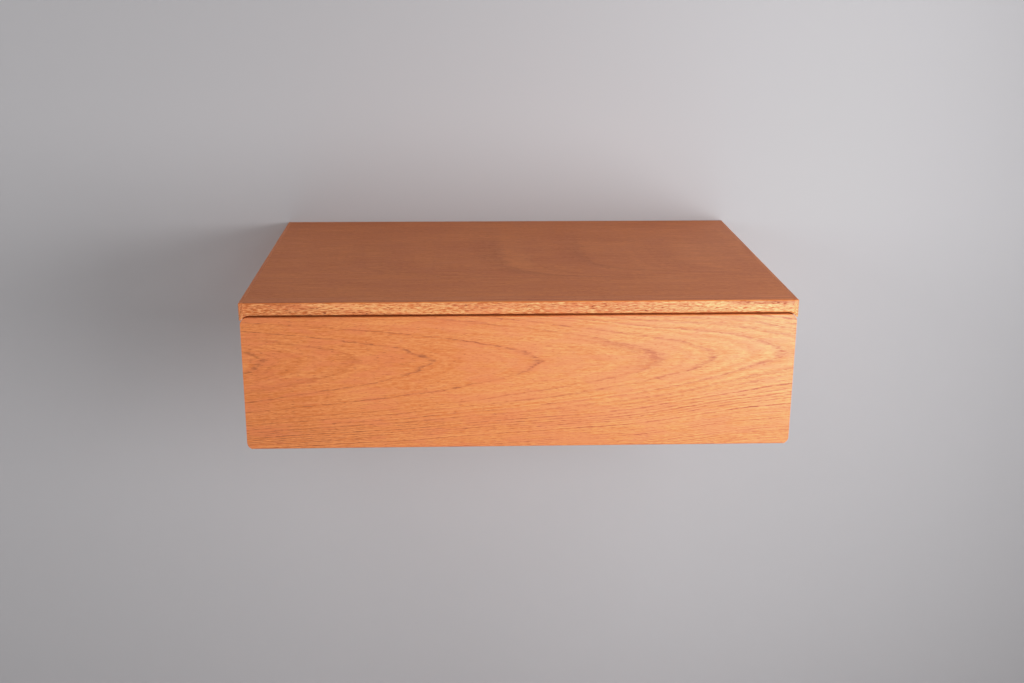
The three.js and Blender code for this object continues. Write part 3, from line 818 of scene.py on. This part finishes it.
def screw_body(length, head):
    """A countersunk wood screw without its slot, point down, in metres."""
    bm = bmesh.new()
    angles = [math.tau * i / SCREW_CORNERS for i in range(SCREW_CORNERS)]
    rings = [
        [bm.verts.new(Vector((r(a) * math.cos(a), r(a) * math.sin(a), level)) * MM) for a in angles]
        for level, r in screw_rows(length, head)
    ]
    for upper, lower in zip(rings, rings[1:]):
        for i in range(SCREW_CORNERS):
            j = (i + 1) % SCREW_CORNERS
            bm.faces.new((upper[i], lower[i], lower[j], upper[j]))
    bm.faces.new(rings[0])
    tip = bm.verts.new(Vector((0.0, 0.0, -length)) * MM)
    for i in range(SCREW_CORNERS):
        bm.faces.new((rings[-1][i], tip, rings[-1][(i + 1) % SCREW_CORNERS]))
    bmesh.ops.recalc_face_normals(bm, faces=bm.faces)
    return bm


def slot_tool(head):
    """The block that cuts the driver slot across the head."""
    bm = bmesh.new()
    bmesh.ops.create_cube(bm, size=1.0)
    bmesh.ops.scale(bm, verts=bm.verts, vec=Vector((head * 3, SLOT_WIDTH, SLOT_DEPTH * 2)) * MM)
    return bm


def cut(bm, tool):
    """Takes the tool's volume away from a solid."""
    shapes = []
    for name, source in (("solid", bm), ("tool", tool)):
        mesh = bpy.data.meshes.new(name)
        source.to_mesh(mesh)
        source.free()
        shape = bpy.data.objects.new(name, mesh)
        bpy.context.scene.collection.objects.link(shape)
        shapes.append(shape)
    boolean = shapes[0].modifiers.new("cut", "BOOLEAN")
    boolean.operation = "DIFFERENCE"
    boolean.object = shapes[1]
    result = bmesh.new()
    result.from_object(shapes[0], bpy.context.evaluated_depsgraph_get())
    for shape in shapes:
        mesh = shape.data
        bpy.data.objects.remove(shape)
        bpy.data.meshes.remove(mesh)
    return result


def make_screws():
    zinc = steel("zinc_plate")
    for node in sorted(NODES):
        if "_screw_" in node:
            make_screw(node, zinc)


def make_screw(node, material):
    """A slotted screw along the node's longest side. Its head faces the middle, or down if upright."""
    low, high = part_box(node)
    size = high - low
    axis = max(range(3), key=lambda i: size[i])
    centre = (low + high) / 2
    towards = -1.0 if axis == 2 or centre[axis] > 0.0 else 1.0
    facing = Vector([towards if i == axis else 0.0 for i in range(3)])
    head_face = centre.copy()
    head_face[axis] = high[axis] if towards > 0.0 else low[axis]
    length, head = size[axis] / MM, min(size) / 2 / MM
    bm = cut(screw_body(length, head), slot_tool(head))
    turn = facing.to_track_quat("Z", "Y").to_matrix().to_4x4()
    bmesh.ops.transform(bm, matrix=Matrix.Translation(head_face) @ turn, verts=bm.verts)
    link(node + "_fine", bm, material, "steel", body_of(node), node)


# ---- stage --------------------------------------------------------------------------------

FLOOR_DROP = 0.72
ROOM = 4.0
WALL_GAP = 0.5 * MM
FLOOR_COLOR = linear(214, 212, 210)
WALL_COLOR = linear(178, 177, 180)


def one_sided(name, color):
    """Seen from its front only, and lets lamps through."""
    t = Tree(name)
    back = t.node("NewGeometry").outputs["Backfacing"]
    shadow = t.node("LightPath").outputs["Is Shadow Ray"]
    matt = t.node("BsdfDiffuse")
    matt.inputs["Color"].default_value = (*color, 1.0)
    mixed = t.node("MixShader")
    t.feed(mixed.inputs[0], t.math("MAXIMUM", back, shadow))
    t.feed(mixed.inputs[1], matt.outputs[0])
    t.feed(mixed.inputs[2], t.node("BsdfTransparent").outputs[0])
    output = t.node("OutputMaterial")
    t.feed(output.inputs["Surface"], mixed.outputs[0])
    return t.material


def make_sheet(name, corners, material):
    mesh = bpy.data.meshes.new(name)
    mesh.from_pydata(corners, [], [(0, 1, 2, 3)])
    mesh.materials.append(material)
    sheet = bpy.data.objects.new(name, mesh)
    bpy.context.scene.collection.objects.link(sheet)


def make_stage():
    floor_z = -FLOOR_DROP
    wall_y = CAD_HIGH.y + WALL_GAP
    floor = ((-ROOM, -ROOM), (ROOM, -ROOM), (ROOM, ROOM), (-ROOM, ROOM))
    wall = ((-ROOM, floor_z), (ROOM, floor_z), (ROOM, ROOM), (-ROOM, ROOM))
    make_sheet("floor", [(x, y, floor_z) for x, y in floor], one_sided("pale_floor", FLOOR_COLOR))
    make_sheet("wall", [(x, wall_y, z) for x, z in wall], one_sided("pale_wall", WALL_COLOR))


LAMPS = (
    # name, azimuth and elevation in degrees, distance and size in metres, power in watts
    ("key", 25, 2, 1.0, 0.5, 5.3),
    ("side_key", 40, 2, 1.0, 0.5, 8.0),
    ("high_key", 70, 45, 1.0, 0.5, 2.0),
    ("fill", -60, 10, 2.0, 1.0, 11.6),
    ("high_fill", -45, 60, 2.0, 1.0, 4.2),
    ("back", 205, -20, 1.8, 1.0, 18.0),
)
LAMP_AIM = Vector((0.0, -0.3, 0.0))


def soft_lamp(name, azimuth, elevation, distance, size, power):
    """A round soft box aimed at the object. Azimuth 0 is straight in front, 90 to the right."""
    turn, rise = math.radians(azimuth), math.radians(elevation)
    away = Vector((math.sin(turn) * math.cos(rise), -math.cos(turn) * math.cos(rise), math.sin(rise)))
    data = bpy.data.lights.new(name, "AREA")
    data.shape = "DISK"
    data.size = size
    data.energy = power
    lamp = bpy.data.objects.new(name, data)
    bpy.context.scene.collection.objects.link(lamp)
    lamp.location = LAMP_AIM + away * distance
    lamp.rotation_euler = away.to_track_quat("Z", "Y").to_euler()
    lamp.visible_camera = False


AMBIENT = 0.15
BACKDROP = 0.55


def make_light():
    for lamp in LAMPS:
        soft_lamp(*lamp)
    make_surroundings()


def make_surroundings():
    """Weak light from all round. The camera sees the surroundings as a pale backdrop."""
    world = bpy.data.worlds.new("soft")
    world.use_nodes = True
    nodes, links = world.node_tree.nodes, world.node_tree.links
    background = nodes["Background"]
    background.inputs["Color"].default_value = (1.0, 1.0, 1.0, 1.0)
    seen = nodes.new("ShaderNodeMapRange")
    seen.inputs["To Min"].default_value = AMBIENT
    seen.inputs["To Max"].default_value = BACKDROP
    links.new(nodes.new("ShaderNodeLightPath").outputs["Is Camera Ray"], seen.inputs["Value"])
    links.new(seen.outputs["Result"], background.inputs["Strength"])
    bpy.context.scene.world = world


BRIGHTEST = 2.4  # scene brightness that shows as white
SHOULDER = ((0.6, 0.6), (0.8, 0.757), (1.0, 0.853), (1.3, 0.93), (1.7, 0.975))


def make_view():
    """Standard view with a photographic shoulder: bright values level off instead of clipping."""
    view = bpy.context.scene.view_settings
    view.view_transform = "Standard"
    view.use_curve_mapping = True
    mapping = view.curve_mapping
    mapping.white_level = [BRIGHTEST] * 3
    curve = mapping.curves[3]
    for brightness, shown in SHOULDER:
        curve.points.new(brightness / BRIGHTEST, shown)
    for point in curve.points:
        point.handle_type = "AUTO_CLAMPED"
    curve.points[0].handle_type = "VECTOR"
    curve.points[1].handle_type = "VECTOR"
    mapping.update()


make_camera()
make_top()
make_sides()
make_floor_board()
make_drawer_front()
make_drawer_box()
make_fittings()
make_screws()
make_stage()
make_light()
make_view()
